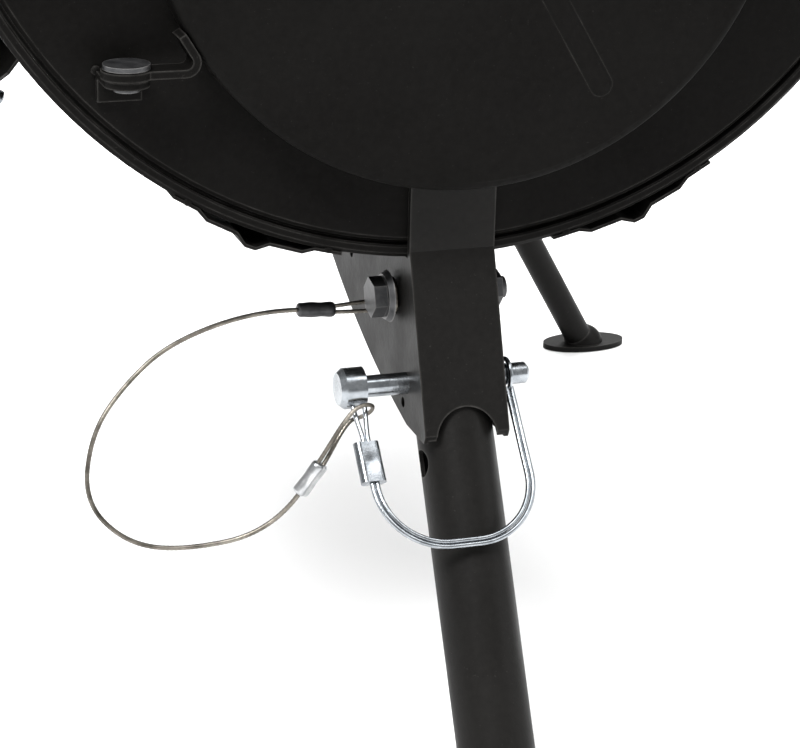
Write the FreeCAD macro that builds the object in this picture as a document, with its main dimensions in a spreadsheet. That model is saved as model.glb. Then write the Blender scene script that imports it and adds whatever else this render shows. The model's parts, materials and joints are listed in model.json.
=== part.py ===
"""Horizontal round-bodied charcoal grill on three folding legs with wire-lock pins.

Drum frame: Y runs along the drum's axis from the front end plate (y = 0) to the rear,
Z is up from the axis and X is to the right. DRUM places that frame in the part frame,
whose origin is on the floor under the middle of the part.
"""
import FreeCAD, Part
import math
import os
import Sketcher
from FreeCAD import Placement, Rotation, Vector

X_AXIS = Vector(1, 0, 0)
Y_AXIS = Vector(0, 1, 0)
Z_AXIS = Vector(0, 0, 1)

doc = FreeCAD.newDocument("grill")
sheet = doc.addObject("Spreadsheet::Sheet", "Dims")

DIMENSIONS = {
    # drum
    "axis_height": 385,
    "body_middle": 172,
    "drum_radius": 183,
    "drum_length": 440,
    "shell_sheet": 1.5,
    "end_sheet": 2,
    "end_clearance": 1.5,
    "rim_radius": 187.5,
    "rim_depth": 8,
    "split_height": 84,
    "split_gap": 1,
    # door
    "door_radius": 113.3,
    "door_drop": 44.6,
    "door_depth": 15,
    "door_gap": 5,
    "door_sheet": 1.5,
    "door_opening": 92,
    "hinge_side": 119.5,
    "hinge_front": 14,
    "hinge_rise": 65.4,
    "hinge_pin_radius": 3,
    "hinge_eye_radius": 8.6,
    "hinge_sheet": 2.8,
    # leg brackets
    "strap_width": 32,
    "bracket_sheet": 1.6,
    "strap_top": 143,
    "face_angle": 20,
    "pivot_drop": 205,
    "pivot_back": 13,
    "pivot_radius": 4,
    "pin_distance": 32.3,
    "lock_radius": 4,
    # legs
    "splay": 28.2,
    "rear_angle": 31,
    "rear_splay": 8,
    "rear_station": 387,
    "tube_radius": 14,
    "tube_wall": 1.5,
    "tube_top": 12,
    "front_tube": 168,
    "rear_tube": 150,
    "stem_radius": 7.5,
    "foot_length": 47,
    "foot_width": 25,
    "foot_thick": 3,
    # fit and wire sizes
    "run_fit": 0.08,
    "hole_fit": 0.3,
    "wire_radius": 0.9,
    "cable_radius": 0.9,
    "bail_angle": 16,
    # lid
    "lid_axis_radius": 189.5,
    "knuckle_radius": 4.5,
    "grip_radius": 13,
    "grip_length": 196,
    "grip_distance": 223,
    "damper_station": 330,
    "damper_radius": 31,
}

for row, (alias, number) in enumerate(DIMENSIONS.items(), start=1):
    sheet.set(f"A{row}", alias)
    sheet.set(f"B{row}", str(number))
    sheet.setAlias(f"B{row}", alias)
doc.recompute()


def size(alias):
    """One driving dimension, as a number."""
    return float(sheet.get(alias))


DRUM = Placement(Vector(0, -size("body_middle"), size("axis_height")), Rotation())
FINISHED = []


def bind(thing, **expressions):
    """Tie an object's properties to cells of the sheet."""
    for name, text in expressions.items():
        thing.setExpression(name, text)


def finish(thing, label, placement=None):
    """Name a finished sub-part and stand it in its place."""
    thing.Label = label
    thing.Placement = placement or DRUM
    FINISHED.append(thing)
    return thing


def shaped(label, shape, placement=None):
    """A sub-part whose shape is worked out here rather than by a feature."""
    thing = doc.addObject("Part::Feature", label)
    thing.Shape = shape
    return finish(thing, label, (placement or DRUM) * shape.Placement)


def cylinder(name, at=Vector(), turn=None, **expressions):
    thing = doc.addObject("Part::Cylinder", name)
    bind(thing, **expressions)
    thing.Placement = Placement(at, turn or Rotation())
    return thing


def box(name, corner, **expressions):
    thing = doc.addObject("Part::Box", name)
    bind(thing, **expressions)
    thing.Placement = Placement(corner, Rotation())
    return thing


def cut(name, base, tool):
    thing = doc.addObject("Part::Cut", name)
    thing.Base = base
    thing.Tool = tool
    return thing


ALONG_Y = Rotation(X_AXIS, -90)


def origin_plane(body, role):
    return next(item for item in body.Origin.OriginFeatures if item.Role == role)


def ring_sketch(body, name, radii):
    """Concentric circles on a body's own XY plane."""
    sketch = body.newObject("Sketcher::SketchObject", name)
    sketch.AttachmentSupport = (origin_plane(body, "XY_Plane"), "")
    sketch.MapMode = "FlatFace"
    for radius in radii:
        circle = sketch.addGeometry(Part.Circle(Vector(), Z_AXIS, 10), False)
        sketch.addConstraint(Sketcher.Constraint("Coincident", circle, 3, -1, 1))
        index = sketch.addConstraint(Sketcher.Constraint("Radius", circle, 10))
        sketch.setExpression(f"Constraints[{index}]", radius)
    return sketch


def pad(body, name, sketch, length, reverse=False):
    feature = body.newObject("PartDesign::Pad", name)
    feature.Profile = sketch
    bind(feature, Length=length)
    feature.Reversed = reverse
    return feature


# ---------------------------------------------------------------- solids made by Part
def rod(start, end, radius):
    direction = end - start
    return Part.makeCylinder(radius, direction.Length, start, direction)


def block(low, high):
    return Part.makeBox(high[0] - low[0], high[1] - low[1], high[2] - low[2], Vector(*low))


def joined(shapes):
    return shapes[0].multiFuse(shapes[1:]).removeSplitter()


def drum_cylinder(radius, margin=100):
    start = Vector(0, -margin, 0)
    return Part.makeCylinder(radius, size("drum_length") + 2 * margin, start, Y_AXIS)


def rounded_path(points, share=0.45, limit=None):
    """Straight runs joined by tangent arcs; returns the wire and the arc radii."""
    edges = []
    radii = []
    start = points[0]
    for before, corner, after in zip(points, points[1:], points[2:]):
        incoming = (before - corner).normalize()
        outgoing = (after - corner).normalize()
        half_turn = (math.pi - incoming.getAngle(outgoing)) / 2
        shorter = min((before - corner).Length, (after - corner).Length)
        radius = share * shorter / math.tan(half_turn)
        if limit:
            radius = min(radius, limit)
        reach = radius * math.tan(half_turn)
        first = corner + incoming * reach
        last = corner + outgoing * reach
        inward = (incoming + outgoing).normalize()
        middle = corner + inward * (radius / math.cos(half_turn) - radius)
        edges.append(Part.LineSegment(start, first).toShape())
        edges.append(Part.Arc(first, middle, last).toShape())
        radii.append(radius)
        start = last
    edges.append(Part.LineSegment(start, points[-1]).toShape())
    return Part.Wire(edges), radii


def wire_rod(path, radius):
    """A round rod or cable along a path of lines and arcs."""
    first = path.OrderedEdges[0]
    start = first.valueAt(first.FirstParameter)
    heading = first.tangentAt(first.FirstParameter)
    ring = Part.Wire([Part.makeCircle(radius, start, heading)])
    return path.makePipeShell([ring], True, False)


# ---------------------------------------------------------------- drum
def make_shell(label, lower):
    """One part of the rolled shell: below the split line, or the lid above it."""
    outer = cylinder(f"{label}_outer", Vector(0, 4, 0), ALONG_Y,
                     Radius="Dims.drum_radius", Height="Dims.drum_length - 8")
    inner = cylinder(f"{label}_inner", Vector(0, 3, 0), ALONG_Y,
                     Radius="Dims.drum_radius - Dims.shell_sheet",
                     Height="Dims.drum_length - 6")
    tube = cut(f"{label}_tube", outer, inner)
    side = -size("drum_radius") - 1
    if lower:
        corner = Vector(side, 2, size("split_height"))
        height = "2 * Dims.drum_radius"
    else:
        corner = Vector(side, 2, -2 * size("drum_radius"))
        height = "2 * Dims.drum_radius + Dims.split_height + Dims.split_gap"
    away = box(f"{label}_away", corner, Length="2 * Dims.drum_radius + 2",
               Width="Dims.drum_length - 4", Height=height)
    return cut(f"{label}_part", tube, away)


def make_end_plate(label, front, lower):
    """A flat end with a flange turned in against the shell."""
    station = 0 if front else size("drum_length")
    facing = 1 if front else -1
    radius = size("drum_radius") - size("shell_sheet")
    sheet_y = size("end_sheet")
    bevel = size("end_clearance")
    flange = 14
    points = [(0, 0), (radius - bevel, 0), (radius, bevel), (radius, flange),
              (radius - sheet_y, flange), (radius - sheet_y, sheet_y), (0, sheet_y)]
    ring = [Vector(r, station + facing * depth, 0) for r, depth in points]
    plate = Part.Face(Part.makePolygon(ring + ring[:1])).revolve(Vector(), Y_AXIS, 360)
    low_y = station - 20
    split = size("split_height")
    if lower:
        plate = plate.cut(block((-200, low_y, split), (200, low_y + 40, 200)))
    else:
        plate = plate.cut(block((-200, low_y, -200), (200, low_y + 40, split + size("split_gap"))))
    if front and lower:
        middle = Vector(0, -5, -size("door_drop"))
        plate = plate.cut(Part.makeCylinder(size("door_opening"), 30, middle, Y_AXIS))
    return shaped(label, plate)


def make_rim(label, front, lower):
    """The rolled band round one end, over the edge of the shell."""
    station = 0 if front else size("drum_length")
    facing = 1 if front else -1
    inner = size("drum_radius")
    outer = size("rim_radius")
    depth = size("rim_depth")
    soft = 1.6
    points = [(inner, 0.6), (inner + 0.6, 0), (outer - soft, 0), (outer, soft),
              (outer, depth - soft), (outer - soft, depth), (inner, depth)]
    ring = [Vector(r, station + facing * along, 0) for r, along in points]
    band = Part.Face(Part.makePolygon(ring + ring[:1])).revolve(Vector(), Y_AXIS, 360)
    split = size("split_height")
    low_y = station - 20
    if lower:
        band = band.cut(block((-200, low_y, split), (200, low_y + 40, 200)))
    else:
        band = band.cut(block((-200, low_y, -200), (200, low_y + 40, split + size("split_gap"))))
    return shaped(label, band)


finish(make_shell("drum_shell", True), "drum_shell")
make_end_plate("front_end_plate", True, True)
make_end_plate("rear_end_plate", False, True)
make_rim("front_rim_ring", True, True)
make_rim("rear_rim_ring", False, True)


def make_skid_rail(label, side):
    """A hat section with a central V, welded to the rim and to two pads on the shell."""
    sheet_t = 1.2
    first = 0.9
    length = 157
    middle = 22.3
    pad_length = 14
    outside = size("rim_radius")
    # angle from the rail's middle and height above the rim, along the section's inner face
    section = [(-10, 0), (-6.9, 0), (-5.6, 2), (-1.9, 2.3), (-0.6, 5.3),
               (0.6, 5.3), (1.9, 2.3), (5.6, 2), (6.9, 0), (10, 0)]

    def at(angle, reach, station=first):
        turn = math.radians(side * middle + angle)
        return Vector(reach * math.sin(turn), station, -reach * math.cos(turn))

    top = [at(angle, outside + height + sheet_t) for angle, height in section]
    under = [at(angle, outside + height) for angle, height in reversed(section)]
    face = Part.Face(Part.makePolygon(top + under + top[:1]))
    rail = face.extrude(Vector(0, length, 0)).cut(drum_cylinder(outside))
    ring = drum_cylinder(outside + 0.4).cut(drum_cylinder(size("drum_radius")))
    pads = []
    for flange in (-1, 1):
        edges = (at(flange * 10, 260, length - pad_length), at(flange * 7.1, 260, length - pad_length))
        corners = [Vector(0, length - pad_length, 0), *edges]
        wedge = Part.Face(Part.makePolygon(corners + corners[:1])).extrude(Vector(0, pad_length, 0))
        pads.append(ring.common(wedge))
    return shaped(label, rail.fuse(pads).removeSplitter())


make_skid_rail("skid_rail_left", -1)
make_skid_rail("skid_rail_right", 1)

# ---------------------------------------------------------------- lid
LID_SPLIT_ANGLE = math.degrees(math.acos((size("split_height") + 0.5) / size("drum_radius")))


def on_shell(angle, radius, station):
    """A point at an angle from the top of the drum, to the right."""
    turn = math.radians(angle)
    return Vector(radius * math.sin(turn), station, radius * math.cos(turn))


LID_PIVOT = on_shell(-LID_SPLIT_ANGLE, size("lid_axis_radius"), 0)

lid_raw = make_shell("lid_shell", False)
vent_hole = cylinder("lid_vent_hole", Vector(0, size("damper_station"), 100), None,
                     Radius="Dims.damper_radius - 5", Height="Dims.drum_radius")
finish(cut("lid_shell_cut", lid_raw, vent_hole), "lid_shell")
make_end_plate("lid_front_plate", True, False)
make_end_plate("lid_rear_plate", False, False)
make_rim("lid_front_rim", True, False)
make_rim("lid_rear_rim", False, False)


def hinge_leaf(first, length, upward):
    """A curved leaf on the shell with its knuckle on the lid's hinge line."""
    shell = size("drum_radius")
    reach = 12
    leaf = drum_cylinder(shell + 2.5).cut(drum_cylinder(shell))
    low_angle = -LID_SPLIT_ANGLE + (0.5 if upward else -reach)
    high_angle = -LID_SPLIT_ANGLE + (reach if upward else -0.5)
    corners = [Vector(0, first, 0), on_shell(low_angle, 260, first), on_shell(high_angle, 260, first)]
    wedge = Part.Face(Part.makePolygon(corners + corners[:1])).extrude(Vector(0, length, 0))
    start = LID_PIVOT + Vector(0, first, 0)
    knuckle = Part.makeCylinder(size("knuckle_radius"), length, start, Y_AXIS)
    leaf = leaf.common(wedge)
    return leaf.fuse(knuckle.cut(drum_cylinder(shell + 0.01))).removeSplitter()


HINGE_STATIONS = (70, 330)
KNUCKLE_LENGTH = 22
fixed_leaves = []
lid_leaves = []
lid_pins = []
for station in HINGE_STATIONS:
    pin_start = LID_PIVOT + Vector(0, station - 2, 0)
    pin_length = 2 * KNUCKLE_LENGTH + 5
    pin = Part.makeCylinder(2, pin_length, pin_start, Y_AXIS)
    bore = Part.makeCylinder(2 + size("run_fit"), pin_length, pin_start, Y_AXIS)
    fixed_leaves.append(hinge_leaf(station, KNUCKLE_LENGTH, False).cut(pin))
    lid_leaves.append(hinge_leaf(station + KNUCKLE_LENGTH + 0.5, KNUCKLE_LENGTH, True).cut(bore))
    pin_head = Part.makeCylinder(3.4, 2, LID_PIVOT + Vector(0, station - 4, 0), Y_AXIS)
    lid_pins.append(pin.fuse(pin_head).removeSplitter())
shaped("lid_hinge_leaves_fixed", Part.Compound(fixed_leaves))
shaped("lid_hinge_leaves_lid", Part.Compound(lid_leaves))
shaped("lid_hinge_pins", Part.Compound(lid_pins))


def make_lid_handle():
    """Two arms standing off the lid with a turned grip between them."""
    angle = 46
    arm_sheet = 4
    stations = (120, 120 + arm_sheet + size("grip_length"))
    arms = []
    turn = Rotation(Y_AXIS, angle)
    for station in stations:
        arm = block((-11, station, 178), (11, station + arm_sheet, size("grip_distance")))
        tip = Part.makeCylinder(11, arm_sheet, Vector(0, station, size("grip_distance")), Y_AXIS)
        arm = arm.fuse(tip).removeSplitter()
        arm.Placement = Placement(Vector(), turn)
        arms.append(arm.cut(drum_cylinder(size("drum_radius"))))
    shaped("lid_handle_arms", Part.Compound(arms))
    centre = turn.multVec(Vector(0, stations[0] + arm_sheet, size("grip_distance")))
    grip = doc.addObject("PartDesign::Body", "lid_handle_grip")
    sketch = ring_sketch(grip, "grip_outline", ["Dims.grip_radius"])
    barrel = pad(grip, "grip_barrel", sketch, "Dims.grip_length")
    doc.recompute()
    rounding = grip.newObject("PartDesign::Fillet", "grip_rounding")
    rounding.Base = (barrel, ["Edge1", "Edge3"])
    rounding.Radius = 4
    grip.Tip = rounding
    finish(grip, "lid_handle_grip", DRUM * Placement(centre, ALONG_Y))


make_lid_handle()


def make_damper():
    """A stub chimney on the lid under a turning disc with matching ports."""
    station = size("damper_station")
    radius = size("damper_radius")
    top = 212
    ports = 4
    port_radius = 7.5
    port_circle = 17.5
    centre = Vector(0, station, 0)

    def port(number, height):
        turn = math.radians(number * 360 / ports)
        at = centre + Vector(port_circle * math.cos(turn), port_circle * math.sin(turn), height)
        return Part.makeCylinder(port_radius, 20, at, Z_AXIS)

    wall = Part.makeCylinder(radius, top - 150, centre + Vector(0, 0, 150), Z_AXIS)
    hollow = Part.makeCylinder(radius - 2, top - 152, centre + Vector(0, 0, 150), Z_AXIS)
    stack = wall.cut(hollow).cut(drum_cylinder(size("drum_radius")))
    for number in range(ports):
        stack = stack.cut(port(number, top - 10))
    rivet = Part.makeCylinder(2.5, 8, centre + Vector(0, 0, top - 3), Z_AXIS)
    rivet_head = Part.makeCylinder(5, 1.6, centre + Vector(0, 0, top + 3.2), Z_AXIS)
    shaped("damper_stack", stack.cut(rivet))
    shaped("damper_rivet", rivet.fuse(rivet_head).removeSplitter())
    disc = Part.makeCylinder(radius, 2, centre + Vector(0, 0, top + 0.4), Z_AXIS)
    for number in range(ports):
        disc = disc.cut(port(number + 0.5, top - 5))
    tab = block((radius - 3, station - 6, top + 0.4), (radius + 14, station + 6, top + 2.4))
    lip = block((radius + 12, station - 6, top + 2.4), (radius + 14, station + 6, top + 9))
    disc = disc.fuse([tab, lip]).removeSplitter()
    bore = Part.makeCylinder(2.5 + size("run_fit"), 10, centre + Vector(0, 0, top - 3), Z_AXIS)
    shaped("damper_disc", disc.cut(bore))


make_damper()

# ---------------------------------------------------------------- door
DOOR_CENTRE = Vector(0, 0, -size("door_drop"))
DOOR_FRONT = -(size("door_gap") + size("door_depth"))


def make_door():
    """A shallow pan standing off the end plate, with radial ribs pressed out of it."""
    radius = size("door_radius")
    skin = size("door_sheet")
    back = -size("door_gap")
    soft = 3
    ring = [Vector(0, DOOR_FRONT, 0), Vector(radius - soft, DOOR_FRONT, 0)]
    bend = [Vector(radius - soft * (1 - math.sin(math.radians(45))),
                   DOOR_FRONT + soft * (1 - math.cos(math.radians(45))), 0),
            Vector(radius, DOOR_FRONT + soft, 0)]
    outline = [
        Part.LineSegment(ring[0], ring[1]).toShape(),
        Part.Arc(ring[1], bend[0], bend[1]).toShape(),
        Part.LineSegment(bend[1], Vector(radius, back, 0)).toShape(),
        Part.LineSegment(Vector(radius, back, 0), Vector(radius - skin, back, 0)).toShape(),
        Part.LineSegment(Vector(radius - skin, back, 0),
                         Vector(radius - skin, DOOR_FRONT + skin + 2, 0)).toShape(),
        Part.LineSegment(Vector(radius - skin, DOOR_FRONT + skin + 2, 0),
                         Vector(radius - skin - 2, DOOR_FRONT + skin, 0)).toShape(),
        Part.LineSegment(Vector(radius - skin - 2, DOOR_FRONT + skin, 0),
                         Vector(0, DOOR_FRONT + skin, 0)).toShape(),
        Part.LineSegment(Vector(0, DOOR_FRONT + skin, 0), ring[0]).toShape(),
    ]
    pan = Part.Face(Part.Wire(outline)).revolve(Vector(), Y_AXIS, 360)
    ribs = []
    rib_radius = 6
    rib_rise = 1.7
    sink = math.sqrt(rib_radius ** 2 - (rib_radius - rib_rise) ** 2)
    for number in range(3):
        turn = math.radians(31 - 120 * number)
        heading = Vector(math.sin(turn), 0, -math.cos(turn))
        inner = heading * 48
        outer = heading * (95 - sink)
        depth = Vector(0, DOOR_FRONT + rib_radius - rib_rise, 0)
        bar = rod(inner + depth, outer + depth, rib_radius)
        bar = bar.fuse([Part.makeSphere(rib_radius, inner + depth),
                        Part.makeSphere(rib_radius, outer + depth)])
        ribs.append(bar)
    front_space = block((-120, DOOR_FRONT - 5, -120), (120, DOOR_FRONT + 0.2, 120))
    for bar in ribs:
        pan = pan.fuse(bar.common(front_space))
    vent_radius = 6.5
    for number in range(4):
        turn = math.radians(45 + 90 * number)
        at = Vector(19 * math.cos(turn), DOOR_FRONT - 5, 19 * math.sin(turn))
        pan = pan.cut(Part.makeCylinder(vent_radius, 20, at, Y_AXIS))
    pan = pan.cut(Part.makeCylinder(2.5, 20, Vector(0, DOOR_FRONT - 5, 0), Y_AXIS))
    pan = pan.removeSplitter()
    pan.translate(DOOR_CENTRE)
    return shaped("door_pan", pan)


make_door()

HINGE_AT = Vector(-size("hinge_side"), -size("hinge_front"), 0)
HINGE_LEVELS = (-size("door_drop") - size("hinge_rise"), -size("door_drop") + size("hinge_rise"))


def strip(path, width, thickness):
    """A flat bar with its width along Y, bent along a path in an XZ plane."""
    first = path.OrderedEdges[0]
    start = first.valueAt(first.FirstParameter)
    half_y = Y_AXIS * (width / 2)
    half_z = Z_AXIS * (thickness / 2)
    corners = [start + half_y + half_z, start - half_y + half_z,
               start - half_y - half_z, start + half_y - half_z]
    return path.makePipeShell([Part.makePolygon(corners + corners[:1])], True, False)


def door_tab(at, side):
    """A strap from the hinge pin that bends round to lie along the door's side wall."""
    sheet_t = size("hinge_sheet")
    eye = size("hinge_eye_radius")
    width = 10.3
    flange = 15
    wall = size("door_radius") + sheet_t / 2 + 0.3
    height = at.z - sheet_t / 2 + size("door_drop")
    angle = math.asin(abs(height) / wall) - flange / 2 / wall
    middle = Vector(-wall * math.cos(angle), 0, side * wall * math.sin(angle))
    along = Vector(-math.sin(angle), 0, -side * math.cos(angle))
    corner = middle - along * ((middle.z - height) / along.z)
    station = Vector(0, at.y - 0.15, 0)
    points = [Vector(at.x, 0, height), corner, middle + along * (flange / 2)]
    path, _ = rounded_path([DOOR_CENTRE + station + point for point in points], limit=4.2)
    round_end = Part.makeCylinder(eye, sheet_t, at - Vector(0, 0, sheet_t), Z_AXIS)
    return round_end.fuse(strip(path, width, sheet_t)).removeSplitter()


def make_door_hinges():
    """Fixed ears on the end plate, tabs on the door and a headed pin through each pair."""
    sheet_t = size("hinge_sheet")
    ear_sheet = 2.5
    eye = size("hinge_eye_radius")
    ear_eye = eye - 1
    pin_radius = size("hinge_pin_radius")
    gap = size("hole_fit")
    ears = []
    tabs = []
    pins = []
    for level in HINGE_LEVELS:
        side = 1 if level > -size("door_drop") else -1
        at = HINGE_AT + Vector(0, 0, level)
        bore = Part.makeCylinder(pin_radius + size("run_fit"), 40, at - Vector(0, 0, 20), Z_AXIS)
        tabs.append(door_tab(at, side).cut(bore))
        ear_top = level - sheet_t - gap
        ear_low = ear_top - ear_sheet
        ear_end = Part.makeCylinder(ear_eye, ear_sheet, Vector(at.x, at.y, ear_low), Z_AXIS)
        ear_arm = block((at.x - ear_eye, at.y, ear_low), (at.x + ear_eye, 0, ear_top))
        ear_base = block((at.x - ear_eye, -2.5, ear_low - 8), (at.x + ear_eye, 0, ear_top))
        nub_low = ear_low - 1.6
        shank = rod(Vector(at.x, at.y, nub_low), Vector(at.x, at.y, level + gap), pin_radius)
        ears.append(ear_end.fuse([ear_arm, ear_base]).cut(shank).removeSplitter())
        head = Part.makeCylinder(eye - 0.7, 1.7, Vector(at.x, at.y, level + gap), Z_AXIS)
        nub = Part.makeCylinder(4.4, 1.6, Vector(at.x, at.y, nub_low), Z_AXIS)
        pins.append(shank.fuse([head, nub]).removeSplitter())
    shaped("door_hinge_ears", Part.Compound(ears))
    shaped("door_hinge_tabs", Part.Compound(tabs))
    shaped("door_hinge_pins", Part.Compound(pins))


make_door_hinges()


def make_door_knob():
    """A turned knob on a stem near the free edge of the door."""
    at = DOOR_CENTRE + Vector(88, DOOR_FRONT, 0)
    stem = Part.makeCylinder(4, 16, at, -Y_AXIS)
    ball = Part.makeSphere(13, at + Vector(0, -26, 0))
    flat = block((60, DOOR_FRONT - 60, -90), (120, DOOR_FRONT - 33, 0))
    shaped("door_knob_stem", stem.fuse(Part.makeCylinder(8, 2, at, -Y_AXIS)).removeSplitter())
    shaped("door_knob", ball.cut(flat).cut(stem))


make_door_knob()


def make_vent_dial():
    """A turning disc over the door's ports, with a raised finger bar."""
    front = DOOR_FRONT - 0.4
    disc = Part.makeCylinder(30, 1.6, Vector(0, front, 0), -Y_AXIS)
    for number in range(4):
        turn = math.radians(90 * number)
        at = Vector(19 * math.cos(turn), front + 5, 19 * math.sin(turn))
        disc = disc.cut(Part.makeCylinder(6.5, 20, at, -Y_AXIS))
    turned = Placement(Vector(), Rotation(Y_AXIS, 45))
    bar = block((-26, front - 9, -1.2), (26, front - 1.5, 1.2))
    bar.Placement = turned
    disc = disc.fuse(bar).removeSplitter()
    bore = Part.makeCylinder(2.5 + size("run_fit"), 40, Vector(0, DOOR_FRONT + 10, 0), -Y_AXIS)
    disc = disc.cut(bore)
    disc.translate(DOOR_CENTRE)
    shaped("vent_dial", disc)
    shank = Part.makeCylinder(2.5, 14.5, Vector(0, DOOR_FRONT + 2.5, 0), -Y_AXIS)
    head = Part.makeCylinder(4.5, 1.5, Vector(0, DOOR_FRONT - 10.4, 0), -Y_AXIS)
    keeper = Part.makeCylinder(4.5, 1, Vector(0, DOOR_FRONT + 2.5, 0), -Y_AXIS)
    rivet = shank.fuse([head, keeper]).removeSplitter()
    rivet.translate(DOOR_CENTRE)
    shaped("vent_rivet", rivet)


make_vent_dial()


# ---------------------------------------------------------------- grates
def make_grate(label, level, half_width, first, last, pitch, radius):
    """Cross bars on three runners, as one welded grid."""
    bars = []
    count = int((last - first) / pitch)
    for number in range(count + 1):
        station = first + number * pitch
        bars.append(rod(Vector(-half_width, station, level), Vector(half_width, station, level), radius))
    for offset in (-0.8, 0, 0.8):
        at = offset * half_width
        under = level - 1.6 * radius
        bars.append(rod(Vector(at, first - 6, under), Vector(at, last + 6, under), radius))
    shaped(label, joined(bars))


make_grate("cooking_grate", 24, 170, 28, 412, 16, 2)
make_grate("charcoal_grate", -92, 142, 30, 410, 20, 2.5)


def make_ledges():
    """Two pairs of rails along the inside of the shell that carry the grates."""
    inside = size("drum_radius") - size("shell_sheet")
    ledges = []
    for level, inner in ((21.7, 160), (-94.8, 132)):
        for side in (-1, 1):
            low = min(side * inner, side * 190)
            high = max(side * inner, side * 190)
            strip = block((low, 20, level - 2), (high, 420, level))
            ledges.append(strip.common(drum_cylinder(inside)))
    shaped("grate_ledges", Part.Compound(ledges))


make_ledges()

# ---------------------------------------------------------------- leg units
# A leg unit's frame has its origin on the pivot bolt's axis between the bracket's cheeks,
# X along the bolt, Z towards the drum's axis and -Y towards the side the leg stands out to.
HALF_WIDTH = size("strap_width") / 2
CHEEK = size("bracket_sheet")


def unit_place(name):
    if name == "front":
        return Placement(Vector(0, size("pivot_back"), -size("pivot_drop")), Rotation())
    side = 1 if name == "rear_right" else -1
    turn = Rotation(Y_AXIS, -side * size("rear_angle")) * Rotation(Z_AXIS, 180)
    angle = math.radians(side * size("rear_angle"))
    reach = size("pivot_drop")
    at = Vector(reach * math.sin(angle), size("rear_station"), -reach * math.cos(angle))
    return Placement(at, turn)


def leg_tilt(name):
    return size("splay") if name == "front" else size("rear_splay")


def tilted(vector, tilt):
    """A vector of the leg's own frame, in the unit's frame."""
    return Rotation(X_AXIS, -tilt).multVec(vector)


def make_bracket(name):
    """A bent channel: a slanted face between two deep cheeks under the shell."""
    label = f"leg_bracket_{name}"
    tilt = leg_tilt(name)
    slope = math.tan(math.radians(size("face_angle")))
    top = size("pivot_drop") - size("drum_radius")
    face_top = -size("pivot_back") - 2.5
    face_top_z = 21

    def face_at(height):
        return face_top - (face_top_z - height) * slope

    low = -43
    depth = 92 if name == "front" else 48
    corner, middle = ((80, -8), (35, -29)) if name == "front" else ((40, -14), (15, -30))
    cheek_line = [Vector(0, face_at(face_top_z), face_top_z), Vector(0, face_top, top + 3),
                  Vector(0, depth, top + 3), Vector(0, depth, 2), Vector(0, *corner)]
    lower_edge = Part.Arc(Vector(0, *corner), Vector(0, *middle), Vector(0, -17, -44)).toShape()
    edges = [Part.LineSegment(a, b).toShape() for a, b in zip(cheek_line, cheek_line[1:])]
    edges.append(lower_edge)
    edges.append(Part.LineSegment(Vector(0, -17, -44), Vector(0, face_at(low) + 2, -44)).toShape())
    edges.append(Part.LineSegment(Vector(0, face_at(low) + 2, -44), Vector(0, face_at(-41), -41)).toShape())
    edges.append(Part.LineSegment(Vector(0, face_at(-41), -41), cheek_line[0]).toShape())
    side_face = Part.Face(Part.Wire(edges))
    side_face.translate(Vector(-HALF_WIDTH, 0, 0))
    whole = side_face.extrude(Vector(2 * HALF_WIDTH, 0, 0))
    thick = CHEEK / math.cos(math.radians(size("face_angle")))
    room = [Vector(0, face_at(60) + thick, 60), Vector(0, face_at(-70) + thick, -70),
            Vector(0, 150, -70), Vector(0, 150, 60)]
    hollow = Part.Face(Part.makePolygon(room + room[:1]))
    hollow.translate(Vector(-HALF_WIDTH + CHEEK, 0, 0))
    shape = whole.cut(hollow.extrude(Vector(2 * (HALF_WIDTH - CHEEK), 0, 0)))
    # the drum, and the rim where the bracket passes under it
    shell = Part.makeCylinder(size("drum_radius"), 400, Vector(0, -200, size("pivot_drop")), Y_AXIS)
    shape = shape.cut(shell)
    rim_low = -size("pivot_back") if name == "front" else size("rear_station") - size("drum_length")
    rim = Part.makeCylinder(size("rim_radius") + 0.2, size("rim_depth") + 1,
                            Vector(0, rim_low - 0.5, size("pivot_drop")), Y_AXIS)
    if name == "front":
        shape = shape.cut(rim)
        strap_low = face_top_z - 1
        strap = block((-HALF_WIDTH, face_top, strap_low),
                      (HALF_WIDTH, -size("pivot_back"), size("pivot_drop") - size("strap_top")))
        shape = shape.fuse(strap)
    else:
        rim_away = Part.makeCylinder(size("rim_radius") + 0.3, 60,
                                     Vector(0, rim_low + size("rim_depth") + 0.5, size("pivot_drop")),
                                     -Y_AXIS)
        shape = shape.cut(rim_away)
    # the front of the leg stands out through an arch in the face's lower edge
    lean = tilted(Vector(0, 0, -1), tilt)
    if name == "front":
        start = lean * size("pin_distance")
        shape = shape.cut(Part.makeCylinder(size("tube_radius") + size("hole_fit"), 60, start, lean))
        arch_radius, arch_level = 11.5, -43.5
        shape = shape.cut(Part.makeCylinder(arch_radius, 40, Vector(0, -60, arch_level), Y_AXIS))
    pivot = Part.makeCylinder(size("pivot_radius"), 80, Vector(-40, 0, 0), X_AXIS)
    lock = lean * size("pin_distance")
    lock_hole = Part.makeCylinder(size("lock_radius") + size("run_fit"), 80,
                                  lock + Vector(-40, 0, 0), X_AXIS)
    relief = Part.makeCylinder(2, 80, lock + Vector(-40, 3, -8.5), X_AXIS)
    shape = shape.cut(pivot).cut(lock_hole).cut(relief)
    if name == "front":
        shape = shape.cut(Part.makeCylinder(2, 80, Vector(-40, 54, 0), X_AXIS))
    shaped(label, shape.removeSplitter(), DRUM * unit_place(name))


def handed(shape, name):
    """The rear left unit is the mirror image of the rear right one."""
    return shape.mirror(Vector(), X_AXIS) if name == "rear_left" else shape


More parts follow.
